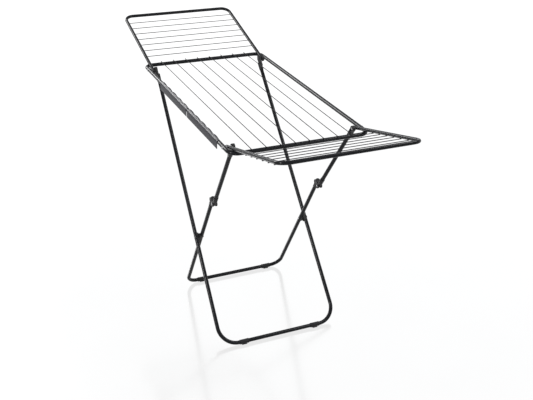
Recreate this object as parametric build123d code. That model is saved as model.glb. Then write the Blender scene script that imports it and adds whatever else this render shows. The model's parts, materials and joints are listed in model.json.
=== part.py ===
"""Folding clothes airer: a wired panel on crossed tube legs, with a wing at each end.

The frame stands on the floor at z = 0.  X runs from the rear feet to the front feet,
Y runs across the airer, and x = y = 0 is the middle of the panel.  Every hinge axis
lies along Y, so the linkage is worked out in the side plane, as (x, z) points.
"""
from build123d import *
import os
from math import asin, atan2, cos, hypot, pi, sin, sqrt

# Stance, measured between tube centre lines
PANEL_LENGTH = 1020.0
RAIL_SPACING = 550.0
PANEL_HEIGHT = 915.0
FRONT_FOOT_X = 393.0
PIVOT_INSET = 62.0          # corner pivot to the nearer end bar
CROSSING_REACH = 770.0      # back pivot to the crossing rivet, down the front leg
ELBOW_REACH = 275.0         # crossing rivet to elbow rivet
ELBOW_SET = 3.0             # how far the elbow stands past its dead centre

# Tubes and wires
FRAME_TUBE = 16.0
LEG_TUBE = 16.0
WING_TUBE = 14.0
TUBE_WALL = 1.2
WIRE = 3.0
FRAME_BEND = 35.0
WING_BEND = 38.0
FRONT_FOOT_BEND = 76.0
REAR_FOOT_BEND = 48.0
SPIGOT_LENGTH = 60.0
SEAM = 0.4                  # gap where the panel tube's two ends meet

# Wings
WING_REACH = 449.5          # pivot to the wing's outer bar
WING_TAIL = 18.0            # tube left past the pivot
WING_GAP = 1.5              # washer space between rail and wing tube
WING_WIRES = 7
WING_WIRE_PITCH = 47.5
WING_WIRE_OVERHANG = 4.0

# Panel wires
PANEL_WIRES = 8
PANEL_WIRE_MARGIN = 76.5    # rail to the nearest wire
PANEL_WIRE_OVERHANG = 12.0

# How far the legs stand inside the rails, centre line to centre line
FRONT_FOOT_INSET = 16.0
REAR_FOOT_INSET = 46.5
ELBOW_INSET = 44.5

# Plastic joints
KNUCKLE_PLATE = 11.0
KNUCKLE_EYE = 11.0          # radius of the rounded end round the pivot
SLEEVE_WALL = 1.35
KNUCKLE_NECK = 24.0         # pivot to the mouth of the sleeve
SLEEVE_LENGTH = 34.0
SOCKET_DEPTH = 31.0
ELBOW_TONGUE = 9.0
ELBOW_TONGUE_EYE = 9.0
ELBOW_EAR = 5.2
ELBOW_NECK = 14.0
ELBOW_SIDE_GAP = 1.2        # between the two elbow sleeves, side by side
SADDLE_LENGTH = 36.0
SADDLE_LIP = 0.5            # saddle's edge past the tube's side

# Pins, rivets and washers
PIN = 6.0
PIN_HEAD = 10.0
PIN_HEAD_THICK = 2.5
RIVET_HEAD_THICK = 1.4
WASHER = 12.0
CAP_FLANGE = 2.0
CAP_PLUG = 8.0

# Foot clips
CLIP_LENGTH = 38.0
CLIP_SHELL = 1.5
CLIP_PAD = 3.0              # pad under the foot bar
CLIP_PAD_WIDTH = 15.0
CLIP_PAD_LENGTH = 22.0
CLIP_SETBACK = 3.0          # between a clip and the bend beside it

# Hanger strips on the left rail
STRIP_LENGTH = 325.0
STRIP_SPLIT_X = 70.0        # where the two strips nearly meet
STRIP_SPLIT = 9.0
STRIP_SHELL = 1.8
STRIP_HUMPS = 5
STRIP_HUMP_RISE = 5.0
STRIP_RIDGE = 2.6
STRIP_SKIRT = 24.0          # how far the skirt hangs below the rail's centre line
STRIP_HOOK = 14.0

# Clearances
RUN = 0.08                  # radial, pins that turn in their holes
FIX = 0.03                  # radial, pins that are fixed in theirs
SNUG = 0.05                 # plastic on the tube it holds
FACE = 0.25                 # between faces that slide on each other
REST = 0.04                 # between a tube and the one it lies on

SIDES = {"left": -1, "right": 1}


def save(name, *solids):
    """Write one sub-part, as one solid or a group of separate ones."""
    shape = solids[0] if len(solids) == 1 else Compound(children=list(solids))
    export_step(shape, f"parts/{name}.step")


# ---------------------------------------------------------------- side plane

def aim(start, end):
    """Unit direction from one (x, z) point to another."""
    run, rise = end[0] - start[0], end[1] - start[1]
    length = hypot(run, rise)
    return run / length, rise / length


def along(start, direction, distance):
    """The (x, z) point at a distance from start."""
    return start[0] + direction[0] * distance, start[1] + direction[1] * distance


def ahead(direction):
    """Unit direction square to the given one, a quarter turn clockwise."""
    return direction[1], -direction[0]


FOOT_HEIGHT = LEG_TUBE / 2 + CLIP_PAD
SLEEVE_RADIUS = LEG_TUBE / 2 + SNUG + SLEEVE_WALL
ELBOW_OFFSET = 2 * SLEEVE_RADIUS + ELBOW_SIDE_GAP
BACK_PIVOT = (PIVOT_INSET - PANEL_LENGTH / 2, PANEL_HEIGHT)
FRONT_PIVOT = (PANEL_LENGTH / 2 - PIVOT_INSET, PANEL_HEIGHT)
FRONT_FOOT = (FRONT_FOOT_X, FOOT_HEIGHT)
FRONT_LEG_DIR = aim(BACK_PIVOT, FRONT_FOOT)
CROSSING = along(BACK_PIVOT, FRONT_LEG_DIR, CROSSING_REACH)


def elbow_point():
    """The elbow stands a little past the line from the crossing to the front pivot."""
    line = aim(CROSSING, FRONT_PIVOT)
    on_line = along(CROSSING, line, sqrt(ELBOW_REACH**2 - ELBOW_SET**2))
    return along(on_line, ahead(line), ELBOW_SET)


def rear_leg_direction():
    """Up the rear leg, whose centre line passes behind the elbow rivet, so that the
    link can fold down beside it."""
    reach = aim(CROSSING, ELBOW)
    angle = atan2(reach[1], reach[0]) + asin(ELBOW_OFFSET / ELBOW_REACH)
    return cos(angle), sin(angle)


ELBOW = elbow_point()
REAR_LEG_DIR = rear_leg_direction()
REAR_FOOT = along(CROSSING, REAR_LEG_DIR, (FOOT_HEIGHT - CROSSING[1]) / REAR_LEG_DIR[1])
ELBOW_LEVEL = along(ELBOW, ahead(REAR_LEG_DIR), -ELBOW_OFFSET)
LINK_DIR = aim(FRONT_PIVOT, ELBOW)

RAIL_Y = RAIL_SPACING / 2
FRONT_FOOT_Y = RAIL_Y - FRONT_FOOT_INSET
REAR_FOOT_Y = RAIL_Y - REAR_FOOT_INSET
ELBOW_Y = RAIL_Y - ELBOW_INSET
RAIL_FACE = RAIL_Y - FRAME_TUBE / 2
WING_Y = RAIL_FACE - WING_GAP - WING_TUBE / 2
WING_FACE = WING_Y - WING_TUBE / 2
LEG_PLATE_Y = WING_FACE - 2 * FACE - KNUCKLE_PLATE / 2
LEG_TOP_Y = WING_FACE - 2 * FACE - SLEEVE_RADIUS
LINK_TOP_Y = WING_FACE - 2 * (FACE + RIVET_HEAD_THICK + FACE) - KNUCKLE_PLATE / 2


def wing_tilt():
    """The wing's slope when its tube rests on the panel's bent corner.  Each point on the
    bend asks for some slope to clear it, and the steepest of them is the wing's."""
    lift = (FRAME_TUBE + WING_TUBE) / 2 + REST
    steepest = 0.0
    for degree in range(91):
        turn = degree * pi / 180
        ahead_of_pivot = PIVOT_INSET - FRAME_BEND * (1 - cos(turn))
        aside = RAIL_Y - FRAME_BEND * (1 - sin(turn)) - WING_Y
        if abs(aside) < lift:
            steepest = max(steepest, sqrt(lift**2 - aside**2) / ahead_of_pivot)
    return asin(steepest)


WING_TILT = wing_tilt()


# ---------------------------------------------------------------- basic solids

def at(point, y):
    """A 3-D point from a side-plane point and a distance across."""
    return Vector(point[0], y, point[1])


def rod(start, end, radius):
    """A straight cylinder between two points."""
    run = end - start
    seat = Plane(origin=start, z_dir=run)
    return seat * Cylinder(radius, run.length, align=(Align.CENTER, Align.CENTER, Align.MIN))


def bar_across(point, y_from, y_to, radius):
    """A cylinder along Y through a side-plane point."""
    return rod(at(point, y_from), at(point, y_to), radius)


def bent_tube(points, bends, diameter):
    """One tube bent round the corners of a route."""
    path = FilletPolyline(*points, radius=bends)
    section = Plane(origin=path @ 0, z_dir=path % 0) * (
        Circle(diameter / 2) - Circle(diameter / 2 - TUBE_WALL))
    return sweep(section, path=path)


def side_plate(outline, y_from, y_to):
    """A plate square to Y, cut to a side-plane outline and spanning two places across."""
    plane = Plane(origin=(0, y_to, 0), x_dir=(1, 0, 0), z_dir=(0, -1, 0))
    return extrude(plane * outline, y_to - y_from)


def lobe(start, end, radius, width):
    """Side-plane outline: a round eye with a straight neck of the given width."""
    run = hypot(end[0] - start[0], end[1] - start[1])
    tilt = atan2(end[1] - start[1], end[0] - start[0]) * 180 / pi
    neck = Location((*start, 0), tilt) * Rectangle(run, width, align=(Align.MIN, Align.CENTER))
    return Pos(*start) * Circle(radius) + neck


def side_solid(side, solid):
    """Parts are drawn for the right side; the left one is their mirror image."""
    return solid if side > 0 else mirror(solid, about=Plane.XZ)


# ---------------------------------------------------------------- panel

def panel_frame():
    """One tube bent into a rectangle, its ends meeting in the middle of the back bar."""
    end_x = PANEL_LENGTH / 2
    route = [
        (-end_x, SEAM / 2), (-end_x, RAIL_Y), (end_x, RAIL_Y),
        (end_x, -RAIL_Y), (-end_x, -RAIL_Y), (-end_x, -SEAM / 2)]
    tube = bent_tube([Vector(x, y, PANEL_HEIGHT) for x, y in route], FRAME_BEND, FRAME_TUBE)
    for pivot in (BACK_PIVOT, FRONT_PIVOT):
        tube -= bar_across(pivot, -RAIL_Y - FRAME_TUBE, RAIL_Y + FRAME_TUBE, PIN / 2 + FIX)
    return tube


def panel_spigot():
    """Short tube pushed into both ends of the panel tube."""
    point = (-PANEL_LENGTH / 2, PANEL_HEIGHT)
    radius = FRAME_TUBE / 2 - TUBE_WALL - FIX
    outer = bar_across(point, -SPIGOT_LENGTH / 2, SPIGOT_LENGTH / 2, radius)
    return outer - bar_across(point, -SPIGOT_LENGTH, SPIGOT_LENGTH, radius - TUBE_WALL)


def panel_wires():
    """Straight wires lying along the panel, welded on top of both end bars."""
    height = PANEL_HEIGHT + (FRAME_TUBE + WIRE) / 2 + SNUG
    half = PANEL_LENGTH / 2 + PANEL_WIRE_OVERHANG
    last = RAIL_Y - PANEL_WIRE_MARGIN
    pitch = 2 * last / (PANEL_WIRES - 1)
    places = [last - pitch * i for i in range(PANEL_WIRES)]
    return [rod(Vector(-half, y, height), Vector(half, y, height), WIRE / 2) for y in places]


def headed_pin(point, y_in, y_out, head_in, head_out):
    """A right-hand pin or rivet along Y with a flat head at each end."""
    pin = bar_across(point, y_in, y_out, PIN / 2)
    pin += bar_across(point, y_in - head_in, y_in, PIN_HEAD / 2)
    return pin + bar_across(point, y_out, y_out + head_out, PIN_HEAD / 2)


PIN_SEAT = RAIL_Y + FRAME_TUBE / 2 + SNUG


def back_pin():
    """Through rail, wing tube and front leg knuckle."""
    inner = LEG_PLATE_Y - KNUCKLE_PLATE / 2 - FACE
    return headed_pin(BACK_PIVOT, inner, PIN_SEAT, RIVET_HEAD_THICK, PIN_HEAD_THICK)


def front_pin():
    """Through rail and wing tube."""
    inner = WING_FACE - FACE
    return headed_pin(FRONT_PIVOT, inner, PIN_SEAT, RIVET_HEAD_THICK, PIN_HEAD_THICK)


def pivot_washers():
    """Four flat rings between the rails and the wing tubes."""
    rings = []
    for pivot in (BACK_PIVOT, FRONT_PIVOT):
        for side in SIDES.values():
            ring = bar_across(pivot, RAIL_FACE - WING_GAP + FACE, RAIL_FACE - FACE, WASHER / 2)
            ring -= bar_across(pivot, WING_FACE, RAIL_Y, PIN / 2 + FIX)
            rings.append(side_solid(side, ring))
    return rings


# ---------------------------------------------------------------- wings
# Each wing is drawn for the front; the back one is its mirror image.

WING_DIR = (cos(WING_TILT), sin(WING_TILT))
TAIL_DIR = (-WING_DIR[0], -WING_DIR[1])


def end_solid(end, solid):
    return solid if end > 0 else mirror(solid, about=Plane.YZ)


def wing_frame():
    """U-shaped tube hinged near the open ends of its two arms."""
    tail = along(FRONT_PIVOT, TAIL_DIR, WING_TAIL)
    tip = along(FRONT_PIVOT, WING_DIR, WING_REACH)
    route = [at(tail, -WING_Y), at(tip, -WING_Y), at(tip, WING_Y), at(tail, WING_Y)]
    tube = bent_tube(route, WING_BEND, WING_TUBE)
    return tube - bar_across(FRONT_PIVOT, -RAIL_Y, RAIL_Y, PIN / 2 + RUN)


def wing_wires():
    """Wires across the wing, welded under its two arms."""
    drop = (WING_TUBE + WIRE) / 2 + SNUG
    half = WING_Y + WING_WIRE_OVERHANG
    wires = []
    for i in range(1, WING_WIRES + 1):
        on_arm = along(FRONT_PIVOT, WING_DIR, WING_REACH - WING_WIRE_PITCH * i)
        below = along(on_arm, ahead(WING_DIR), drop)
        wires.append(bar_across(below, -half, half, WIRE / 2))
    return wires


def wing_caps():
    """Plugs in the open ends of the arms."""
    mouth = along(FRONT_PIVOT, TAIL_DIR, WING_TAIL)
    caps = []
    for side in SIDES.values():
        seat = at(mouth, side * WING_Y)
        flange = rod(seat, at(along(mouth, TAIL_DIR, CAP_FLANGE), side * WING_Y), WING_TUBE / 2)
        plug_end = at(along(mouth, WING_DIR, CAP_PLUG), side * WING_Y)
        caps.append(flange + rod(seat, plug_end, WING_TUBE / 2 - TUBE_WALL - FIX))
    return caps


# ---------------------------------------------------------------- legs

def leg_y(top_y, foot_y, reach, distance):
    """Where a splayed leg's centre line lies across, at a distance from its top."""
    return top_y + (foot_y - top_y) * distance / reach


FRONT_LEG_LENGTH = hypot(FRONT_FOOT[0] - BACK_PIVOT[0], FRONT_FOOT[1] - BACK_PIVOT[1])
REAR_LEG_LENGTH = hypot(REAR_FOOT[0] - ELBOW_LEVEL[0], REAR_FOOT[1] - ELBOW_LEVEL[1])
LINK_LENGTH = hypot(ELBOW[0] - FRONT_PIVOT[0], ELBOW[1] - FRONT_PIVOT[1])
REAR_LEG_TO_CROSSING = hypot(CROSSING[0] - ELBOW_LEVEL[0], CROSSING[1] - ELBOW_LEVEL[1])
FRONT_CROSSING_Y = leg_y(LEG_TOP_Y, FRONT_FOOT_Y, FRONT_LEG_LENGTH, CROSSING_REACH)
REAR_CROSSING_Y = leg_y(ELBOW_Y, REAR_FOOT_Y, REAR_LEG_LENGTH, REAR_LEG_TO_CROSSING)


def front_leg_at(distance):
    """Right-hand point on the front leg's centre line, measured from the back pivot."""
    y = leg_y(LEG_TOP_Y, FRONT_FOOT_Y, FRONT_LEG_LENGTH, distance)
    return at(along(BACK_PIVOT, FRONT_LEG_DIR, distance), y)


def rear_leg_at(distance):
    """Right-hand point on the rear leg's centre line, measured down from the elbow."""
    y = leg_y(ELBOW_Y, REAR_FOOT_Y, REAR_LEG_LENGTH, distance)
    return at(along(ELBOW_LEVEL, REAR_LEG_DIR, -distance), y)


def link_at(distance):
    """Right-hand point on the link's centre line, measured from the front pivot."""
    y = leg_y(LINK_TOP_Y, ELBOW_Y, LINK_LENGTH, distance)
    return at(along(FRONT_PIVOT, LINK_DIR, distance), y)


def to_left(point):
    return Vector(point.X, -point.Y, point.Z)


def u_leg(top, foot, bend):
    """A leg tube bent into a U, from one top down across the foot bar and up again."""
    return bent_tube([top, foot, to_left(foot), to_left(top)], bend, LEG_TUBE)


SOCKET_START = KNUCKLE_NECK + SLEEVE_LENGTH - SOCKET_DEPTH
ELBOW_SOCKET_START = ELBOW_NECK + SLEEVE_LENGTH - SOCKET_DEPTH


def front_leg():
    tube = u_leg(front_leg_at(SOCKET_START), front_leg_at(FRONT_LEG_LENGTH), FRONT_FOOT_BEND)
    return tube - bar_across(CROSSING, -RAIL_Y, RAIL_Y, PIN / 2 + FIX)


def rear_leg():
    top = rear_leg_at(SLEEVE_LENGTH - SOCKET_DEPTH)
    tube = u_leg(top, rear_leg_at(REAR_LEG_LENGTH), REAR_FOOT_BEND)
    return tube - bar_across(CROSSING, -RAIL_Y, RAIL_Y, PIN / 2 + RUN)


def link_tube():
    """Straight tube from the elbow up to the front pivot."""
    route = Line(link_at(SOCKET_START), link_at(LINK_LENGTH - ELBOW_SOCKET_START))
    section = Plane(origin=route @ 0, z_dir=route % 0) * (
        Circle(LEG_TUBE / 2) - Circle(LEG_TUBE / 2 - TUBE_WALL))
    return sweep(section, path=route)


# ---------------------------------------------------------------- plastic joints

def sleeve(mouth, tail, socket):
    """Outside and socket of a moulded sleeve that holds a tube end."""
    return rod(mouth, tail, SLEEVE_RADIUS), rod(socket, tail, LEG_TUBE / 2 + SNUG)


def knuckle(centre, line_at, plate_y):
    """Rounded plate on a pivot, with a sleeve for the tube below it."""
    middle = line_at(KNUCKLE_NECK + SLEEVE_LENGTH / 2)
    outline = lobe(centre, (middle.X, middle.Z), KNUCKLE_EYE, 2 * SLEEVE_RADIUS)
    plate = side_plate(outline, plate_y - KNUCKLE_PLATE / 2, plate_y + KNUCKLE_PLATE / 2)
    shell, socket = sleeve(
        line_at(KNUCKLE_NECK), line_at(KNUCKLE_NECK + SLEEVE_LENGTH), line_at(SOCKET_START))
    hole = bar_across(centre, 0, RAIL_Y, PIN / 2 + RUN)
    return plate + shell - socket - hole


def leg_knuckle():
    return knuckle(BACK_PIVOT, front_leg_at, LEG_PLATE_Y)


def link_knuckle():
    return knuckle(FRONT_PIVOT, link_at, LINK_TOP_Y)


def link_rivet():
    """Rivet in the link's own knuckle, clear of the wing's pin."""
    half = KNUCKLE_PLATE / 2 + FACE
    return headed_pin(
        FRONT_PIVOT, LINK_TOP_Y - half, LINK_TOP_Y + half, RIVET_HEAD_THICK, RIVET_HEAD_THICK)


EAR_GAP = ELBOW_TONGUE + 2 * FACE


def elbow_fork():
    """Two ears beside the tongue, on a sleeve over the top of the rear leg."""
    outline = lobe(ELBOW, ELBOW_LEVEL, KNUCKLE_EYE, 2 * KNUCKLE_EYE)
    outline += Pos(*ELBOW_LEVEL) * Circle(KNUCKLE_EYE)
    inner, outer = EAR_GAP / 2, EAR_GAP / 2 + ELBOW_EAR
    ears = side_plate(outline, ELBOW_Y + inner, ELBOW_Y + outer)
    ears += side_plate(outline, ELBOW_Y - outer, ELBOW_Y - inner)
    top, tail = rear_leg_at(-KNUCKLE_EYE), rear_leg_at(SLEEVE_LENGTH)
    shell, socket = sleeve(top, tail, rear_leg_at(SLEEVE_LENGTH - SOCKET_DEPTH))
    return ears + shell - socket - bar_across(ELBOW, 0, RAIL_Y, PIN / 2 + FIX)


def elbow_tongue():
    """Narrow eye between the fork's ears, on a sleeve over the foot of the link."""
    def from_elbow(distance):
        return link_at(LINK_LENGTH - distance)
    middle = from_elbow(ELBOW_NECK + SLEEVE_LENGTH / 2)
    outline = lobe(ELBOW, (middle.X, middle.Z), ELBOW_TONGUE_EYE, 2 * ELBOW_TONGUE_EYE)
    plate = side_plate(outline, ELBOW_Y - ELBOW_TONGUE / 2, ELBOW_Y + ELBOW_TONGUE / 2)
    shell, socket = sleeve(
        from_elbow(ELBOW_NECK), from_elbow(ELBOW_NECK + SLEEVE_LENGTH),
        from_elbow(ELBOW_SOCKET_START))
    return plate + shell - socket - bar_across(ELBOW, 0, RAIL_Y, PIN / 2 + RUN)


def elbow_rivet():
    half = EAR_GAP / 2 + ELBOW_EAR + FACE
    return headed_pin(
        ELBOW, ELBOW_Y - half, ELBOW_Y + half, RIVET_HEAD_THICK, RIVET_HEAD_THICK)


def crossing_rivet():
    """Through front leg, both saddles and rear leg."""
    inner = REAR_CROSSING_Y - LEG_TUBE / 2 - FACE
    outer = FRONT_CROSSING_Y + LEG_TUBE / 2 + FACE
    return headed_pin(CROSSING, inner, outer, RIVET_HEAD_THICK, RIVET_HEAD_THICK)


SADDLE_FACE = (FRONT_CROSSING_Y + REAR_CROSSING_Y) / 2
SADDLE_WIDTH = LEG_TUBE + 2 * SADDLE_LIP


def saddle(line_at, distance, direction, tube_y, hole_fit):
    """Block that cups one leg's tube and slides on the other leg's block."""
    inner, outer = sorted((SADDLE_FACE + (FACE / 2 if tube_y > SADDLE_FACE else -FACE / 2), tube_y))
    tilt = atan2(direction[1], direction[0]) * 180 / pi
    outline = Location((*CROSSING, 0), tilt) * RectangleRounded(
        SADDLE_LENGTH, SADDLE_WIDTH, SADDLE_WIDTH / 3)
    block = side_plate(outline, inner, outer)
    block -= rod(line_at(distance - SADDLE_LENGTH), line_at(distance + SADDLE_LENGTH),
                 LEG_TUBE / 2 + SNUG)
    return block - bar_across(CROSSING, 0, RAIL_Y, PIN / 2 + hole_fit)


def front_saddle():
    return saddle(front_leg_at, CROSSING_REACH, FRONT_LEG_DIR, FRONT_CROSSING_Y, FIX)


def rear_saddle():
    return saddle(rear_leg_at, REAR_LEG_TO_CROSSING, REAR_LEG_DIR, REAR_CROSSING_Y, RUN)


def foot_clip(foot, bend_start):
    """Sleeve round the foot bar, just inside its bend, with a pad that stands on the floor."""
    half = CLIP_LENGTH / 2
    spread = bend_start - CLIP_SETBACK - half
    radius = LEG_TUBE / 2 + CLIP_SHELL
    ring = bar_across(foot, spread - half, spread + half, radius)
    pad = Pos(foot[0], spread, 0) * Box(
        CLIP_PAD_WIDTH, CLIP_PAD_LENGTH, FOOT_HEIGHT, align=(Align.CENTER, Align.CENTER, Align.MIN))
    return ring + pad - bar_across(foot, 0, RAIL_Y, LEG_TUBE / 2 + SNUG)


# ---------------------------------------------------------------- hanger strips

def strip_cover(x_start):
    """Shell over the top and outer side of the left rail, with a skirt below it."""
    inner, outer = FRAME_TUBE / 2 + SNUG, FRAME_TUBE / 2 + SNUG + STRIP_SHELL
    across = Plane(origin=(x_start, -RAIL_Y, PANEL_HEIGHT), x_dir=(0, 1, 0), z_dir=(1, 0, 0))
    cap = Circle(outer) - Circle(inner)
    cap &= Pos(-outer / 2, outer / 2) * Rectangle(outer, outer)
    skirt = Pos(-inner, 0) * Rectangle(STRIP_SHELL, STRIP_SKIRT, align=(Align.MAX, Align.MAX))
    return extrude(across * (cap + skirt), STRIP_LENGTH)


def strip_ridge(x_start):
    """Row of low humps along the top, with a notch between each pair for a hook."""
    base = FRAME_TUBE / 2 + SNUG
    hump = STRIP_LENGTH / STRIP_HUMPS
    valley, crest = base + STRIP_SHELL, base + STRIP_SHELL + STRIP_HUMP_RISE
    top = [
        ThreePointArc((hump * i, valley), (hump * (i + 0.5), crest), (hump * (i + 1), valley))
        for i in range(STRIP_HUMPS)]
    rim = Polyline((STRIP_LENGTH, valley), (STRIP_LENGTH, base), (0, base), (0, valley))
    face = make_face(Curve() + [*top, rim])
    plane = Plane(origin=(x_start, -RAIL_Y + STRIP_RIDGE / 2, PANEL_HEIGHT), x_dir=(1, 0, 0),
                  z_dir=(0, -1, 0))
    return extrude(plane * face, STRIP_RIDGE)


def strip_hooks(x_start):
    """Short lips under the rail that snap the strip on."""
    inner, outer = FRAME_TUBE / 2 + SNUG, FRAME_TUBE / 2 + SNUG + STRIP_SHELL
    hump = STRIP_LENGTH / STRIP_HUMPS
    curve = Circle(outer) - Circle(inner)
    curve &= Pos(-outer / 2, -outer / 2) * Rectangle(outer, outer)
    hooks = Part()
    for i in range(STRIP_HUMPS):
        start = x_start + hump * (i + 0.5) - STRIP_HOOK / 2
        across = Plane(origin=(start, -RAIL_Y, PANEL_HEIGHT), x_dir=(0, 1, 0), z_dir=(1, 0, 0))
        hooks += extrude(across * curve, STRIP_HOOK)
    return hooks


def hanger_strip(x_start):
    return strip_cover(x_start) + strip_ridge(x_start) + strip_hooks(x_start)


# ---------------------------------------------------------------- write the parts

def save_both(name, make):
    """Write a right-hand part and its mirror image."""
    solid = make()
    for word, side in SIDES.items():
        save(f"{name}_{word}", side_solid(side, solid))


def save_panel():
    save("panel_frame", panel_frame())
    save("panel_spigot", panel_spigot())
    save("panel_wires", *panel_wires())
    save("pivot_washers", *pivot_washers())
    save_both("back_pivot_pin", back_pin)
    save_both("front_pivot_pin", front_pin)
    save("hanger_strip_back", hanger_strip(STRIP_SPLIT_X - STRIP_SPLIT / 2 - STRIP_LENGTH))
    save("hanger_strip_front", hanger_strip(STRIP_SPLIT_X + STRIP_SPLIT / 2))


def save_wings():
    frame, wires, caps = wing_frame(), wing_wires(), wing_caps()
    for word, end in {"back": -1, "front": 1}.items():
        save(f"{word}_wing_frame", end_solid(end, frame))
        save(f"{word}_wing_wires", *[end_solid(end, wire) for wire in wires])
        save(f"{word}_wing_caps", *[end_solid(end, cap) for cap in caps])


def save_legs():
    save("front_leg", front_leg())
    save_both("front_leg_knuckle", leg_knuckle)
    save_both("crossing_rivet", crossing_rivet)
    save_both("front_saddle", front_saddle)
    save_both("front_foot_clip", lambda: foot_clip(FRONT_FOOT, FRONT_FOOT_Y - FRONT_FOOT_BEND))
    save("rear_leg", rear_leg())
    save_both("rear_saddle", rear_saddle)
    save_both("elbow_fork", elbow_fork)
    save_both("elbow_rivet", elbow_rivet)
    save_both("rear_foot_clip", lambda: foot_clip(REAR_FOOT, REAR_FOOT_Y - REAR_FOOT_BEND))
    save_both("rear_link", link_tube)
    save_both("elbow_tongue", elbow_tongue)
    save_both("link_knuckle", link_knuckle)
    save_both("link_rivet", link_rivet)


os.makedirs("parts", exist_ok=True)
save_panel()
save_wings()
save_legs()
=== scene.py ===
# %% [markdown]
# Folding clothes airer
#
# The airer is a bent steel tube panel strung with eight wires, two hinged wings, and a
# pair of crossed tube legs.  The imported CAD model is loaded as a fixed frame, and its
# tubes stay as they are.  The small parts that catch the eye, such as wires, rivets,
# moulded joints and hanger strips, are made again here with the soft edges and the
# surface that the real ones have.

# %% Load the frame
import json
from math import asin, cos, pi, radians, sin, tau

import bmesh
import bpy
from mathutils import Matrix, Vector
from mathutils.bvhtree import BVHTree


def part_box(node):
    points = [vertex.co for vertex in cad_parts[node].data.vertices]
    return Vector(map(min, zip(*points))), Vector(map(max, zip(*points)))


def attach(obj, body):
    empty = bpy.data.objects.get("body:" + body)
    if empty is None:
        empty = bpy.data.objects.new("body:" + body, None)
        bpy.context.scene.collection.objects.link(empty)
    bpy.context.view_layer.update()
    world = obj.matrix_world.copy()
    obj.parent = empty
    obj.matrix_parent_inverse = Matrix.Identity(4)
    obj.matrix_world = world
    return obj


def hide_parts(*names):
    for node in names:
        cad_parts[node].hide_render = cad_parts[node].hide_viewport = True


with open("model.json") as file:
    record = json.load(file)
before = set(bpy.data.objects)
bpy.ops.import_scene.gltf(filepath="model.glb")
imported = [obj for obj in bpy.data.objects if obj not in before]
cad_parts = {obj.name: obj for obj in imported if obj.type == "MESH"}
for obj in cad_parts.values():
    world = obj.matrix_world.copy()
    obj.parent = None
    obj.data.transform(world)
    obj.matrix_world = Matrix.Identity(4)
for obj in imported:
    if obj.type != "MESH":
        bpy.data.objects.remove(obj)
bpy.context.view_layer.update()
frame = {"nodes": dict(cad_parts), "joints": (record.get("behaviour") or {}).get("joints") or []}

# %% [markdown]
# The camera comes first, so that every later step can be judged from the same place.
# It stands high off the front left corner and looks down along the airer.  Its direction
# is written as a heading, a downward tilt and a slight roll, because those are the three
# turns of a tripod head, and each can be changed without upsetting the others.

# %% Camera
HEADING = radians(24.60)
DOWNWARD = radians(27.08)
ROLL = radians(1.73)
CAMERA_PLACE = (3.0804, -1.3103, 2.1574)
LENS, SENSOR_WIDTH = 58.99, 36  # millimetres

looking = Vector((
    -cos(HEADING) * cos(DOWNWARD), sin(HEADING) * cos(DOWNWARD), -sin(DOWNWARD)))
level_right = looking.cross(Vector((0, 0, 1))).normalized()
level_up = level_right.cross(looking)
right = cos(ROLL) * level_right + sin(ROLL) * level_up
up = cos(ROLL) * level_up - sin(ROLL) * level_right
camera = bpy.data.objects.new("camera", bpy.data.cameras.new("camera"))
bpy.context.scene.collection.objects.link(camera)
turn = Matrix((right, up, -looking)).transposed().to_4x4()
camera.matrix_world = Matrix.Translation(CAMERA_PLACE) @ turn
camera.data.sensor_width = SENSOR_WIDTH
camera.data.lens = LENS
bpy.context.scene.camera = camera
print("camera at", tuple(camera.location))

# %% [markdown]
# A black tube is seen almost only by what it reflects, so the light matters more than the
# paint.  An even white surround gives the tubes their charcoal tone.  A wide panel behind
# draws the long streaks along the rails and the shoulders of the hanger strips.  A small
# bright one on the left puts a glint on each bend, and one on the right lights the far
# bars.  Cycles treats each as a glowing rectangle, so a smaller one of the same power
# makes a smaller and brighter reflection.

# %% Light
bpy.context.scene.view_settings.view_transform = "Standard"
surround = bpy.data.worlds.new("white_surround")
surround.use_nodes = True
glow = surround.node_tree.nodes["Background"]
glow.inputs["Color"].default_value = (0.97, 0.985, 1.0, 1)
glow.inputs["Strength"].default_value = 1.0
bpy.context.scene.world = surround


def soft_panel(name, place, aim, width, height, power):
    """A flat studio lamp, its sizes in metres and its power in watts, facing a point."""
    lamp = bpy.data.lights.new(name, "AREA")
    lamp.shape = "RECTANGLE"
    lamp.size, lamp.size_y, lamp.energy = width, height, power
    stand = bpy.data.objects.new(name, lamp)
    bpy.context.scene.collection.objects.link(stand)
    stand.location = place
    stand.rotation_mode = "QUATERNION"
    stand.rotation_quaternion = (Vector(aim) - Vector(place)).to_track_quat("-Z", "Y")
    print(name, "at", place)


soft_panel("left_panel", (1.2, -3.4, 2.2), (0.3, -0.2, 0.7), 0.35, 0.6, 140)
soft_panel("back_panel", (-3.4, -1.6, 2.35), (0, -0.28, 0.9), 1.5, 1.2, 150)
soft_panel("right_panel", (1.3, 1.9, 3.4), (0.2, 0, 0.5), 0.9, 0.9, 90)

# %% [markdown]
# Every finish below is a chain of nodes.  Written out node by node it would hide the idea,
# so one small class holds an output socket and lets plain arithmetic add the Math nodes:
# "1 - wear" then reads as it would on paper.  Its node method adds any other node.

# %% A socket that can be added and multiplied


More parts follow.
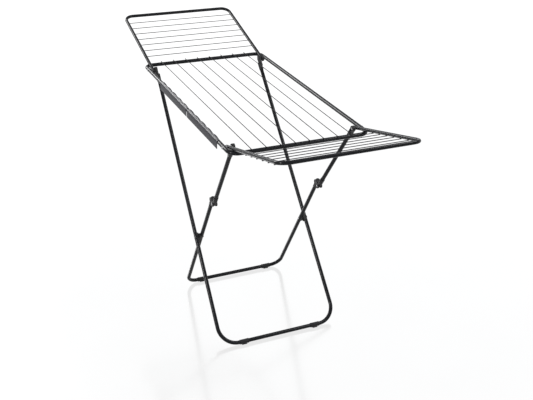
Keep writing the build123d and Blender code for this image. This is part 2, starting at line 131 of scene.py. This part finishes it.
class Flow:
    """A value that flows through a finish, held as one output socket."""

    def __init__(self, tree, socket=None):
        self.tree, self.socket = tree, socket

    def node(self, kind, settings=None, inputs=None, output=0):
        """Add a node: its settings first, then the values or links of its sockets."""
        made = self.tree.nodes.new(kind)
        for name, value in (settings or {}).items():
            setattr(made, name, value)
        for name, value in (inputs or {}).items():
            if isinstance(value, Flow):
                self.tree.links.new(value.socket, made.inputs[name])
            else:
                made.inputs[name].default_value = value
        return Flow(self.tree, made.outputs[output])

    def maths(self, operation, first, second):
        """A Math node, with the operation that the arithmetic sign stands for."""
        return self.node("ShaderNodeMath", {"operation": operation}, {0: first, 1: second})

    def __add__(self, other):
        return self.maths("ADD", self, other)

    def __sub__(self, other):
        return self.maths("SUBTRACT", self, other)

    def __rsub__(self, other):
        return self.maths("SUBTRACT", other, self)

    def __mul__(self, other):
        return self.maths("MULTIPLY", self, other)

    def __pow__(self, other):
        return self.maths("POWER", self, other)

    __radd__, __rmul__ = __add__, __mul__


# %% [markdown]
# All the finishes share one build: two colours that a noise blends, a roughness that
# drifts, and a fine relief.  The relief is what tells powder coat from moulded plastic,
# so each finish brings its own.  Patterns follow Object coordinates, which are metres
# here, so a noise scale of 1000 has grains about a millimetre apart.  A black part on a
# white ground also mirrors the white at a glancing angle, so each finish sets a low
# Specular IOR Level to stay dark there.

# %% The shared build of a finish


def colour(red, green, blue):
    """A solid colour, from the red, green and blue light that it throws back."""
    return (red, green, blue, 1)


def begin(name):
    """A new finish, its object coordinates, and its shader node."""
    material = bpy.data.materials.new(name)
    material.use_nodes = True
    tree = material.node_tree
    place = Flow(tree).node("ShaderNodeTexCoord", output="Object")
    print("finish", name)
    return material, place, tree.nodes["Principled BSDF"]


def noise(place, scale, detail=3.0, stretch=None):
    """Cloudy noise from 0 to 1, drawn out along an axis where stretch says so."""
    if stretch:
        place = place.node("ShaderNodeMapping", None, {"Vector": place, "Scale": stretch})
    return place.node(
        "ShaderNodeTexNoise", None, {"Vector": place, "Scale": scale, "Detail": detail})


# A Mix node has one set of sockets for each kind of data, so those for colours are
# picked by their number.
MIX_FACTOR, MIX_FIRST, MIX_SECOND, MIX_RESULT = 0, 6, 7, 2


def blend(factor, first, second):
    """One colour that turns into another as the factor rises."""
    return factor.node(
        "ShaderNodeMix", {"data_type": "RGBA"},
        {MIX_FACTOR: factor, MIX_FIRST: first, MIX_SECOND: second}, MIX_RESULT)


def paint_on(shader, place, base, roughness, relief, height, steady):
    """Join the varying parts to the shader, and set the steady ones on its sockets."""
    normal = place.node("ShaderNodeBump", None, {"Height": relief, "Distance": height})
    for name, value in (("Base Color", base), ("Roughness", roughness), ("Normal", normal)):
        place.tree.links.new(value.socket, shader.inputs[name])
    for name, value in steady.items():
        shader.inputs[name].default_value = value


# %% [markdown]
# The tubes are steel with a gloss black powder coat.  The powder melts into a skin with a
# faint orange peel, a few millimetres from crest to crest, over a finer grain.  The
# roughness is low, so the streaks stay narrow, and it drifts a little along each tube.

# %% Tube paint
tube_paint, place, shader = begin("tube_paint")
cloud = noise(place, 9)
peel = noise(place, 260, 1.0)
grain = noise(place, 2600, 1.0)
paint_on(
    shader, place,
    blend(cloud, colour(0.003, 0.003, 0.0035), colour(0.007, 0.0075, 0.009)),
    0.17 + 0.08 * cloud + 0.04 * grain,
    peel + 0.05 * grain, 0.00003,
    {"Specular IOR Level": 0.08})

# %% [markdown]
# The wires share the colour, but their coat is thinner and duller, and it has run
# lengthways while it was wet.  A fine speckle breaks up the shine.

# %% Wire paint
wire_paint, place, shader = begin("wire_paint")
cloud = noise(place, 30)
speck = noise(place, 1800, 2.0)
paint_on(
    shader, place,
    blend(cloud, colour(0.004, 0.004, 0.0045), colour(0.010, 0.010, 0.011)),
    0.36 + 0.16 * speck,
    speck, 0.00003,
    {"Specular IOR Level": 0.03})

# %% [markdown]
# The joints are moulded in black nylon.  The mould was blasted with fine grit, so the
# plastic has a satin grain, and slow sink marks where the walls are thick.

# %% Joint plastic
black_plastic, place, shader = begin("black_plastic")
sink = noise(place, 70, 1.0)
grain = noise(place, 2300, 2.0)
paint_on(
    shader, place,
    blend(sink, colour(0.006, 0.006, 0.006), colour(0.014, 0.014, 0.015)),
    0.36 + 0.10 * sink + 0.10 * grain,
    grain + 2.0 * sink, 0.00006,
    {"Specular IOR Level": 0.12})

# %% [markdown]
# The foot clips are a softer, rubbery plastic that grips the floor.  It is duller and a
# touch greyer, with scuffs where the feet have been dragged.

# %% Clip plastic
clip_plastic, place, shader = begin("clip_plastic")
cloud = noise(place, 110, 2.0)
scuff = noise(place, 900, 3.0, stretch=(1.0, 0.12, 1.0))
paint_on(
    shader, place,
    blend(scuff ** 3.0, colour(0.006, 0.006, 0.0065), colour(0.020, 0.020, 0.021)),
    0.46 + 0.20 * scuff,
    cloud + scuff, 0.00008,
    {"Specular IOR Level": 0.12})

# %% [markdown]
# The hanger strips are dark grey plastic with an etched leather-like grain.  Small cells
# from a Voronoi pattern make the pits, and noise makes them uneven.

# %% Strip plastic
strip_plastic, place, shader = begin("strip_plastic")
cloud = noise(place, 45, 2.0)
pits = place.node("ShaderNodeTexVoronoi", None, {"Vector": place, "Scale": 1100.0})
dust = noise(place, 700, 3.0)
paint_on(
    shader, place,
    blend(cloud, colour(0.006, 0.006, 0.008), colour(0.014, 0.014, 0.018)),
    0.26 + 0.10 * dust,
    pits + 0.6 * dust, 0.00007,
    {"Specular IOR Level": 0.07})

# %% [markdown]
# Rivets and pins are steel that was blackened in a bath.  The bath leaves a dark metal
# with lighter patches on the crown, where the riveting tool pressed.

# %% Rivet steel
rivet_steel, place, shader = begin("rivet_steel")
patch = noise(place, 260, 2.0)
tool = noise(place, 1500, 2.0, stretch=(1.0, 0.3, 1.0))
paint_on(
    shader, place,
    blend(patch ** 2.0, colour(0.10, 0.10, 0.105), colour(0.42, 0.42, 0.43)),
    0.24 + 0.20 * tool,
    tool + patch, 0.00004,
    {"Metallic": 0.9})

# %% [markdown]
# Only the short joining tube inside the back bar is bare zinc-bright steel.  Drawing it
# through a die leaves fine lines along its length, which runs across the airer.

# %% Plain steel
plain_steel, place, shader = begin("plain_steel")
drawn = noise(place, 1600, 2.0, stretch=(1.0, 0.04, 1.0))
paint_on(
    shader, place,
    blend(drawn, colour(0.38, 0.38, 0.39), colour(0.62, 0.62, 0.63)),
    0.30 + 0.15 * drawn,
    drawn, 0.00003,
    {"Metallic": 1.0})

finishes = {
    "tube_paint": tube_paint, "wire_paint": wire_paint, "black_plastic": black_plastic,
    "clip_plastic": clip_plastic, "strip_plastic": strip_plastic,
    "rivet_steel": rivet_steel, "plain_steel": plain_steel}
print("finishes:", ", ".join(finishes))

# %% [markdown]
# The bent tubes keep their CAD meshes, which already run smoothly round each bend.  Each
# one takes the finish named by its own material slot, and so does any small node that
# isn't replaced further down.

# %% Finish the CAD nodes
for node in frame["nodes"].values():
    for held in node.material_slots:
        held.material = finishes[held.material.name.split(".")[0]]
print(len(frame["nodes"]), "CAD nodes finished")

# %% [markdown]
# The places of the pieces come from the frame: the joints say where the wings' pivots
# are, and the boxes of the CAD nodes say how far the tubes stand apart.  Sizes
# that a maker would read off a drawing are written in millimetres and turned to metres.

# %% Places
MM = 0.001
FRAME_TUBE, WING_TUBE, WIRE = 16 * MM, 14 * MM, 3 * MM
joints = {joint["name"]: Vector(joint["pos_m"]) for joint in frame["joints"]}
back_pivot, front_pivot = joints["back_wing_fold"], joints["front_wing_fold"]
rail_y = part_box("panel_frame")[1].y - FRAME_TUBE / 2
wing_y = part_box("front_wing_frame")[1].y - WING_TUBE / 2
end_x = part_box("panel_frame")[1].x - FRAME_TUBE / 2
SIDES = {"left": -1, "right": 1}
print("rails at", rail_y, "wing arms at", wing_y, "end bars at", end_x)

# %% [markdown]
# Most small parts are round, so one helper spins a half outline round a line.  The
# outline is a list of pairs: how far along the line, and how far out from it.  Another
# turns the finished bmesh into a piece that rides on its body, stands for its CAD
# node, and is smooth except across sharp edges.

# %% Turning and finishing a piece


def turned(shape, outline, start, toward, steps=24, closed=False):
    """Spin a half outline all the way round the line from start toward another point."""
    axis = (toward - start).normalized()
    out = axis.orthogonal().normalized()
    points = [
        shape.verts.new(start + axis * along + out * radius) for along, radius in outline]
    pairs = list(zip(points, points[1:])) + ([(points[-1], points[0])] if closed else [])
    lines = [shape.edges.new(pair) for pair in pairs]
    bmesh.ops.spin(
        shape, geom=points + lines, cent=start, axis=axis, angle=tau, steps=steps,
        use_merge=True)


SEAM = 0.000002  # metres between vertices that are meant to be one


def piece(name, shape, body, slot, *nodes, sharp=40):
    """Close a bmesh into a named piece that rides on a body and stands for CAD nodes."""
    bmesh.ops.remove_doubles(shape, verts=shape.verts, dist=SEAM)
    bmesh.ops.recalc_face_normals(shape, faces=shape.faces)
    mesh = bpy.data.meshes.new(name)
    shape.to_mesh(mesh)
    shape.free()
    mesh.materials.append(finishes[slot])
    mesh.shade_smooth()
    mesh.set_sharp_from_angle(angle=radians(sharp))
    made = bpy.data.objects.new(name, mesh)
    bpy.context.scene.collection.objects.link(made)
    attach(made, body)
    if nodes:
        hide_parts(*nodes)
    print(name, len(mesh.polygons), "faces")


# %% [markdown]
# The eight drying wires lie on both end bars and are spot welded there.  Their ends are
# cut and then dipped in paint, which rounds them, so each wire is a spun rod with a
# rounded tip at both ends rather than a plain cylinder.

# %% Panel wires
wire_low, wire_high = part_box("panel_wires")
WIRES = 8


def wire_outline(length, radius):
    """Half outline of a rod with rounded tips."""
    turns = (0, 0.45, 0.9, 1.25, pi / 2)
    tip = [(radius * (1 - cos(a)), radius * sin(a)) for a in turns]
    return tip + [(length - along, out) for along, out in reversed(tip)]


def across_wires():
    """How far aside each wire of the panel lies."""
    last = wire_high.y - WIRE / 2
    return [last - 2 * last * i / (WIRES - 1) for i in range(WIRES)]


WIRE_FACETS = 16
shape = bmesh.new()
wire_z = (wire_low.z + wire_high.z) / 2
for y in across_wires():
    start, end = Vector((wire_low.x, y, wire_z)), Vector((wire_high.x, y, wire_z))
    turned(shape, wire_outline((end - start).length, WIRE / 2), start, end, WIRE_FACETS)
piece("panel_wires_painted", shape, "panel", "wire_paint", "panel_wires")

# %% [markdown]
# A spot weld squeezes a little molten steel out on each side of the wire, and the paint
# rounds it further.  Each bead is a flattened round shape, sunk halfway into the tube,
# and no two are quite alike, because each is turned and stretched by its own amount.

# %% Weld beads


def bead(shape, middle, along_wire, along_tube, length, width, height, number):
    """One weld bead: a flattened sphere, pulled a little out of true by its number."""
    uneven = 1 + 0.12 * sin(2.3 * number)
    up_from_tube = along_wire.cross(along_tube).normalized()
    made = bmesh.ops.create_uvsphere(shape, u_segments=14, v_segments=8, radius=1)["verts"]
    size = Matrix.Diagonal((length * uneven, width / uneven, height, 1))
    lean = Matrix.Rotation(0.25 * sin(1.7 * number), 4, "Z")
    axes = Matrix((along_wire, along_tube, up_from_tube)).transposed().to_4x4()
    bmesh.ops.transform(
        shape, verts=made, matrix=Matrix.Translation(middle) @ axes @ lean @ size)


ALONG_X, ALONG_Y = Vector((1, 0, 0)), Vector((0, 1, 0))
# How far a bead reaches along its wire, along its tube, and up from the tube.
PANEL_BEAD, WING_BEAD = (3.4 * MM, 2.5 * MM, 0.9 * MM), (3.2 * MM, 2.4 * MM, 0.9 * MM)
shape = bmesh.new()
seats = [Vector((end, y, wire_z - WIRE / 2))
         for end in (-end_x, end_x) for y in across_wires()]
for number, seat in enumerate(seats):
    bead(shape, seat, ALONG_X, ALONG_Y, *PANEL_BEAD, number)
piece("panel_weld_beads", shape, "panel", "tube_paint")

# %% [markdown]
# The wings have seven wires each, welded under the two arms, where washing can't
# catch on the welds.  The slope of a wing is read from its box, and its wires follow it.

# %% Wing wires and their welds
WING_WIRES, WING_WIRE_PITCH, WING_REACH = 7, 47.5 * MM, 449.5 * MM
WELD_GAP = 0.05 * MM


def wing_slope(way):
    """The direction out along a wing's arm, for a wing that points one way along X."""
    return Vector((way * cos(wing_tilt), 0, sin(wing_tilt)))


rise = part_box("front_wing_frame")[1].z - WING_TUBE / 2 - front_pivot.z
wing_tilt = asin(rise / WING_REACH)
wire_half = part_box("front_wing_wires")[1].y
for word, way, pivot in (("front", 1, front_pivot), ("back", -1, back_pivot)):
    outward = wing_slope(way)
    under = Vector((way * sin(wing_tilt), 0, -cos(wing_tilt)))
    wires, beads = bmesh.new(), bmesh.new()
    for i in range(1, WING_WIRES + 1):
        on_arm = pivot + outward * (WING_REACH - WING_WIRE_PITCH * i)
        below = on_arm + under * ((WING_TUBE + WIRE) / 2 + WELD_GAP)
        start = below - Vector((0, wire_half, 0))
        end = below + Vector((0, wire_half, 0))
        turned(wires, wire_outline(2 * wire_half, WIRE / 2), start, end, WIRE_FACETS)
        for side in SIDES.values():
            seat = on_arm + under * (WING_TUBE / 2) + Vector((0, side * wing_y, 0))
            bead(beads, seat, ALONG_Y, outward, *WING_BEAD, i + 9 * side)
    body = word + "_wing"
    piece(body + "_wires_painted", wires, body, "wire_paint", body + "_wires")
    piece(body + "_weld_beads", beads, body, "tube_paint")

# %% [markdown]
# A moulded plug closes each open end of a wing arm.  It has a domed flange that covers
# the cut tube, a thin groove where the flange meets it, and a shank pushed inside.

# %% Wing end caps
WING_TAIL, TUBE_WALL = 18 * MM, 1.2 * MM
for word, way, pivot in (("front", 1, front_pivot), ("back", -1, back_pivot)):
    outward = wing_slope(way)
    shape = bmesh.new()
    for side in SIDES.values():
        mouth = pivot - outward * WING_TAIL + Vector((0, side * wing_y, 0))
        inner = WING_TUBE / 2 - TUBE_WALL - 0.03 * MM
        rim = WING_TUBE / 2
        dome = [(-2.0 * MM, 0), (-1.97 * MM, 2.2 * MM), (-1.85 * MM, 4.2 * MM),
                (-1.55 * MM, 5.6 * MM), (-1.05 * MM, rim - 0.35 * MM),
                (-0.55 * MM, rim - 0.03 * MM), (-0.15 * MM, rim - 0.05 * MM),
                (0, rim - 0.25 * MM), (0, inner), (7.2 * MM, inner),
                (8 * MM, inner - 0.7 * MM), (8 * MM, 0)]
        turned(shape, dome, mouth, mouth + outward, 32)
    piece(word + "_wing_end_caps", shape, word + "_wing", "black_plastic",
          word + "_wing_caps")

# %% [markdown]
# Pins and rivets are headed steel.  A rivet's crown is a low dome with a soft rim,
# pressed by the tool.  Every one runs along Y, so its CAD box gives its length and its
# middle, and a pin differs from a rivet only in having a taller outer head.

# %% Pins and rivets
PIN_RADIUS, HEAD_RADIUS = 3 * MM, 5 * MM
ROUND_FACETS = 32


def headed_outline(length, first_head, second_head):
    """Half outline of a pin with a domed head at each end."""
    def head(height):
        turns = (0, 0.35, 0.7, 1.0, 1.25, 1.42)
        dome = [(height * (1 - cos(a)) * 0.9, HEAD_RADIUS * sin(a)) for a in turns]
        return dome + [
            (height * 0.88, HEAD_RADIUS), (height * 0.96, HEAD_RADIUS - 0.08 * MM),
            (height, HEAD_RADIUS - 0.3 * MM), (height, PIN_RADIUS)]
    far_end = [(length - along, out) for along, out in reversed(head(second_head))]
    return head(first_head) + far_end


RIVET_HEAD, PIN_HEAD = 1.4 * MM, 2.5 * MM
headed = [
    ("back_pivot_pin", "panel", PIN_HEAD), ("front_pivot_pin", "panel", PIN_HEAD),
    ("crossing_rivet", "front_leg", RIVET_HEAD), ("elbow_rivet", "rear_leg", RIVET_HEAD),
    ("link_rivet", "rear_links", RIVET_HEAD)]
for name, body, outer_head in headed:
    for word, side in SIDES.items():
        node = name + "_" + word
        low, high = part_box(node)
        middle = (low + high) / 2
        inner_y, outer_y = (low.y, high.y) if side > 0 else (high.y, low.y)
        shape = bmesh.new()
        start = Vector((middle.x, inner_y, middle.z))
        end = Vector((middle.x, outer_y, middle.z))
        outline = headed_outline(high.y - low.y, RIVET_HEAD, outer_head)
        turned(shape, outline, start, end, ROUND_FACETS)
        piece(node + "_domed", shape, body, "rivet_steel", node)

# %% [markdown]
# Between each rail and wing arm sits a thin washer that stops paint from rubbing on
# paint.  It is a ring with rounded rims, spun from a closed outline.

# %% Washers
WASHER_RADIUS = 6 * MM
shape = bmesh.new()
washers_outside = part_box("pivot_washers")[1].y
thick, bore, chamfer = 1.0 * MM, PIN_RADIUS + 0.03 * MM, 0.2 * MM
ring = [(0, bore + chamfer), (0, WASHER_RADIUS - chamfer), (chamfer, WASHER_RADIUS),
        (thick - chamfer, WASHER_RADIUS), (thick, WASHER_RADIUS - chamfer),
        (thick, bore + chamfer), (thick - chamfer, bore), (chamfer, bore)]
for pivot in (back_pivot, front_pivot):
    for side in SIDES.values():
        outer_face = Vector((pivot.x, side * washers_outside, pivot.z))
        middle = Vector((pivot.x, 0, pivot.z))
        turned(shape, ring, outer_face, middle, ROUND_FACETS, closed=True)
piece("pivot_washers_rounded", shape, "panel", "rivet_steel", "pivot_washers")

# %% [markdown]
# The moulded joints have the outline that the CAD gives them, so their pieces start as a
# copy of the CAD mesh.  That mesh is loose triangles: merging its doubles and dissolving
# its flat faces leaves clean outlines.  A mould never leaves a knife edge, so the
# sharp edges are rounded with a bevel, and the broad flat cheeks get a shallow pocket
# inside a raised rim, which is how such parts save plastic and stay stiff.  Where very
# short edges meet, a bevel can throw a vertex clear of the part, so each one that is
# found outside is brought back onto the skin.

# %% Softening a CAD shape
CAD_SEAM, FLAT = 0.00002, radians(0.5)
SQUARE_ON = 0.999  # cosine of the angle between a face's normal and a direction
POCKET_RIM, POCKET_SLOPE, POCKET_DEPTH = 1.6 * MM, 0.35 * MM, 0.9 * MM
STRAY, SPLINTER = 0.03 * MM, 0.005 * MM
CHEEK_AREA, CHEEK_RELIEF, SAME_PLANE = 20 * MM * MM, 0.35 * MM, 0.02 * MM


def copied(node):
    """A merged copy of a CAD node's mesh, with its flat faces made whole."""
    shape = bmesh.new()
    shape.from_mesh(frame["nodes"][node].data)
    bmesh.ops.remove_doubles(shape, verts=shape.verts, dist=CAD_SEAM)
    bmesh.ops.dissolve_limit(
        shape, angle_limit=FLAT, verts=shape.verts, edges=shape.edges)
    bmesh.ops.recalc_face_normals(shape, faces=shape.faces)
    return shape


def broad_faces(shape, looking_along, least_area):
    """The large flat faces that look squarely along a direction or against it."""
    return [face for face in shape.faces
            if abs(face.normal.dot(looking_along)) > SQUARE_ON
            and face.calc_area() > least_area]


def sink_faces(shape, looking_along, least_area):
    """Press a shallow pocket into each broad flat face."""
    broad = broad_faces(shape, looking_along, least_area)
    for face in broad:
        bmesh.ops.inset_region(shape, faces=[face], thickness=POCKET_RIM, depth=0)
        bmesh.ops.inset_region(
            shape, faces=[face], thickness=POCKET_SLOPE, depth=-POCKET_DEPTH)
    return len(broad)


def round_edges(shape, width, least_turn=32):
    """Bevel every outer edge that turns by more than an angle."""
    shape.normal_update()
    sharp = [
        edge for edge in shape.edges
        if edge.is_convex and edge.calc_face_angle(0) > radians(least_turn)]
    bmesh.ops.bevel(
        shape, geom=sharp, affect="EDGES", offset=width, offset_type="OFFSET", segments=2,
        profile=0.5, material=-1, clamp_overlap=True)
    return len(sharp)


def settle(shape, skin):
    """Bring back onto the skin every vertex that a bevel has pushed out of it."""
    moved = 0
    for vert in shape.verts:
        near, normal, _, gap = skin.find_nearest(vert.co)
        if gap > STRAY and (vert.co - near).dot(normal) > 0:
            vert.co = near
            moved += 1
    bmesh.ops.remove_doubles(shape, verts=shape.verts, dist=SPLINTER)
    bmesh.ops.dissolve_degenerate(shape, dist=SPLINTER, edges=shape.edges)
    return moved


def thin_outer_cheek(shape, least_area, thinner):
    """Move the outermost broad side face inward, which leaves room beside it."""
    cheeks = broad_faces(shape, ALONG_Y, least_area)
    outermost = max(abs(face.calc_center_median().y) for face in cheeks)
    for vert in {vert for face in cheeks for vert in face.verts}:
        if abs(abs(vert.co.y) - outermost) < SAME_PLANE:
            vert.co.y -= thinner if vert.co.y > 0 else -thinner


def soften(node, body, slot, looking_along, least_area, width):
    """Replace a CAD node with a copy that has sunk faces and rounded edges."""
    shape = copied(node)
    if node.startswith("elbow_fork"):
        # When the airer is folded, the front leg passes close by the fork's outer ear.
        thin_outer_cheek(shape, CHEEK_AREA, CHEEK_RELIEF)
    skin = BVHTree.FromBMesh(shape)
    faces = sink_faces(shape, looking_along, least_area * MM * MM)
    edges = round_edges(shape, width)
    strays = settle(shape, skin)
    print(node, faces, "faces sunk,", edges, "edges rounded,", strays, "strays settled")
    piece(node + "_moulded", shape, body, slot, node, sharp=35)


# Least area of a face that gets a pocket, in square millimetres.  The saddles and the
# tongues have no face of 1000, so they stay plain.
POCKETED, PLAIN, CLIP_BASE = 150, 1000, 100
JOINT_ROUND, CLIP_ROUND = 0.45 * MM, 0.4 * MM
moulded = [
    ("front_leg_knuckle", "front_leg", POCKETED), ("front_saddle", "front_leg", PLAIN),
    ("rear_saddle", "rear_leg", PLAIN), ("elbow_fork", "rear_leg", POCKETED),
    ("elbow_tongue", "rear_links", PLAIN), ("link_knuckle", "rear_links", POCKETED)]
for name, body, least_area in moulded:
    for word in SIDES:
        soften(
            name + "_" + word, body, "black_plastic", ALONG_Y, least_area, JOINT_ROUND)

# %% [markdown]
# The foot clips wrap the foot bars and stand on a block with a hollow underside.  They
# are softened in the same way, and each end of the sleeve gets a raised band, which
# keeps the mouth from splitting when the clip is pushed on.

# %% Foot clips
BAND_LENGTH, BAND_RISE = 3.2 * MM, 0.3 * MM
for name, body in (("front_foot_clip", "front_leg"), ("rear_foot_clip", "rear_leg")):
    for word in SIDES:
        node = name + "_" + word
        soften(node, body, "clip_plastic", Vector((0, 0, 1)), CLIP_BASE, CLIP_ROUND)
        low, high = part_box(node)
        outer = (high.x - low.x) / 2
        axis_z = high.z - outer
        shape = bmesh.new()
        for mouth, inward in ((low.y, 1), (high.y, -1)):
            start = Vector(((low.x + high.x) / 2, mouth, axis_z))
            band = [(0, outer - 0.4 * MM), (0.1 * MM, outer + BAND_RISE - 0.1 * MM),
                    (0.35 * MM, outer + BAND_RISE),
                    (BAND_LENGTH - 0.6 * MM, outer + BAND_RISE), (BAND_LENGTH, outer),
                    (BAND_LENGTH, outer - 0.4 * MM)]
            inner = start + Vector((0, inward, 0))
            turned(shape, band, start, inner, ROUND_FACETS, closed=True)
        piece(node + "_bands", shape, body, "clip_plastic")

# %% [markdown]
# Each hanger strip is one moulding that snaps over the rail.  Seen from its end it is a
# thin hook: a ridge on top, a round shoulder, and a skirt that hangs down outside.  The
# ridge rises in five humps so that hangers drop into the notches between them, and
# the shoulder swells with each hump, which is what breaks the light along it.  The end
# outline is extruded along the rail in short steps, and then each step is lifted to suit.
# Under each hump the skirt carries a short hook that wraps further round the rail.

# %% Hanger strips
HUMPS, HUMP_RISE, SWELL, SWELL_GROWTH = 5, 5 * MM, 0.55 * MM, 3.5
SHELL_INNER, SHELL_OUTER, RIDGE, SKIRT = 8.05 * MM, 9.85 * MM, 2.6 * MM, 24 * MM


def strip_outline():
    """The strip's end outline: outward, upward, share of hump, share of swell."""
    half = RIDGE / 2
    outline = [(-half, SHELL_INNER, 0, 0), (-half, SHELL_OUTER - 0.5 * MM, 0.93, 0),
               (-0.7 * half, SHELL_OUTER - 0.08 * MM, 1, 0), (0, SHELL_OUTER, 1, 0),
               (0.7 * half, SHELL_OUTER - 0.08 * MM, 1, 0),
               (half, SHELL_OUTER - 0.5 * MM, 0.93, 0),
               (1.25 * half, SHELL_OUTER - 0.25 * MM, 0.30, 0),
               (1.8 * half, SHELL_OUTER * 0.965, 0.06, 0.3)]
    for turn, swell in ((66, 0.8), (54, 1), (42, 1), (30, 0.9), (18, 0.6), (6, 0.2)):
        a = radians(turn)
        outline.append((SHELL_OUTER * cos(a), SHELL_OUTER * sin(a), 0, swell))
    outline += [(SHELL_OUTER, out, 0, 0) for out in (-6 * MM, -14 * MM, -SKIRT + 1.4 * MM)]
    outline += [(SHELL_OUTER - 0.2 * MM, -SKIRT + 0.45 * MM, 0, 0),
                (SHELL_OUTER - 0.9 * MM, -SKIRT, 0, 0),
                (SHELL_INNER + 0.2 * MM, -SKIRT + 0.45 * MM, 0, 0),
                (SHELL_INNER, -SKIRT + 1.4 * MM, 0, 0), (SHELL_INNER, -12 * MM, 0, 0)]
    outline += [(SHELL_INNER * cos(radians(turn)), SHELL_INNER * sin(radians(turn)), 0, 0)
                for turn in range(0, 91, 10)]
    return outline


def drawn_along(shape, loop, length, steps):
    """Extrude a closed loop of points along X in equal steps, and close both ends."""
    points = [shape.verts.new(place) for place in loop]
    edges = [shape.edges.new(pair) for pair in zip(points, points[1:] + points[:1])]
    first, rings = list(edges), [points]
    for _ in range(steps):
        grown = bmesh.ops.extrude_edge_only(shape, edges=edges)["geom"]
        ring = [part for part in grown if isinstance(part, bmesh.types.BMVert)]
        edges = [part for part in grown if isinstance(part, bmesh.types.BMEdge)
                 and all(vert in ring for vert in part.verts)]
        bmesh.ops.translate(shape, verts=ring, vec=(length / steps, 0, 0))
        rings.append(ring)
    bmesh.ops.contextual_create(shape, geom=first)
    bmesh.ops.contextual_create(shape, geom=edges)
    return rings


def hump_at(share):
    """Height of the hump, 0 in a notch and 1 on a crest, at a share of the strip."""
    along = (share * HUMPS) % 1 if share < 1 else 0
    return 4 * along * (1 - along)


STEPS_PER_HUMP, HOOK = 14, 14 * MM
for name in ("hanger_strip_back", "hanger_strip_front"):
    low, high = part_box(name)
    rail = Vector((low.x, -rail_y, front_pivot.z))
    outline = strip_outline()
    shape = bmesh.new()
    loop = [rail + Vector((0, -out, rise)) for out, rise, _, _ in outline]
    rings = drawn_along(shape, loop, high.x - low.x, HUMPS * STEPS_PER_HUMP)
    for i, ring in enumerate(rings):
        hump = hump_at(i / (HUMPS * STEPS_PER_HUMP))
        for vert, (out, rise, lift, swell) in zip(ring, outline):
            vert.co.z += HUMP_RISE * hump * lift
            reach = Vector((0, vert.co.y + rail_y, vert.co.z - rail.z)).normalized()
            vert.co += reach * SWELL * swell * (min(1, SWELL_GROWTH * hump) - 1)
    for i in range(HUMPS):
        start_x = low.x + (i + 0.5) * (high.x - low.x) / HUMPS - HOOK / 2
        arc = [(radius, radians(turn)) for radius, turns in (
            (SHELL_OUTER, range(-4, -89, -12)), (SHELL_INNER, range(-88, -3, 12)))
            for turn in turns]
        lip = [Vector((start_x, -rail_y - radius * cos(a), rail.z + radius * sin(a)))
               for radius, a in arc]
        drawn_along(shape, lip, HOOK, 2)
    piece(name + "_moulded", shape, "panel", "strip_plastic", name, sharp=50)

# %% [markdown]
# The floor is a wide disc, far larger than the view, so that no edge shows behind the
# airer.  It glows white by itself, which hides shadows, and it mirrors a little, so
# the feet leave a faint mirror image.

# %% Floor
floor_white, place, shader = begin("floor_white")
mottle = noise(place, 3)
paint_on(
    shader, place,
    blend(mottle, colour(0.17, 0.17, 0.17), colour(0.19, 0.19, 0.19)),
    0.13 + 0.04 * mottle,
    mottle, 0.00001,
    {"Metallic": 1.0, "Emission Color": colour(1, 1, 1), "Emission Strength": 0.80})
FLOOR_RADIUS = 30  # metres
shape = bmesh.new()
bmesh.ops.create_circle(shape, cap_ends=True, segments=96, radius=FLOOR_RADIUS)
mesh = bpy.data.meshes.new("floor")
shape.to_mesh(mesh)
shape.free()
mesh.materials.append(floor_white)
floor = bpy.data.objects.new("floor", mesh)
bpy.context.scene.collection.objects.link(floor)
print("floor laid")
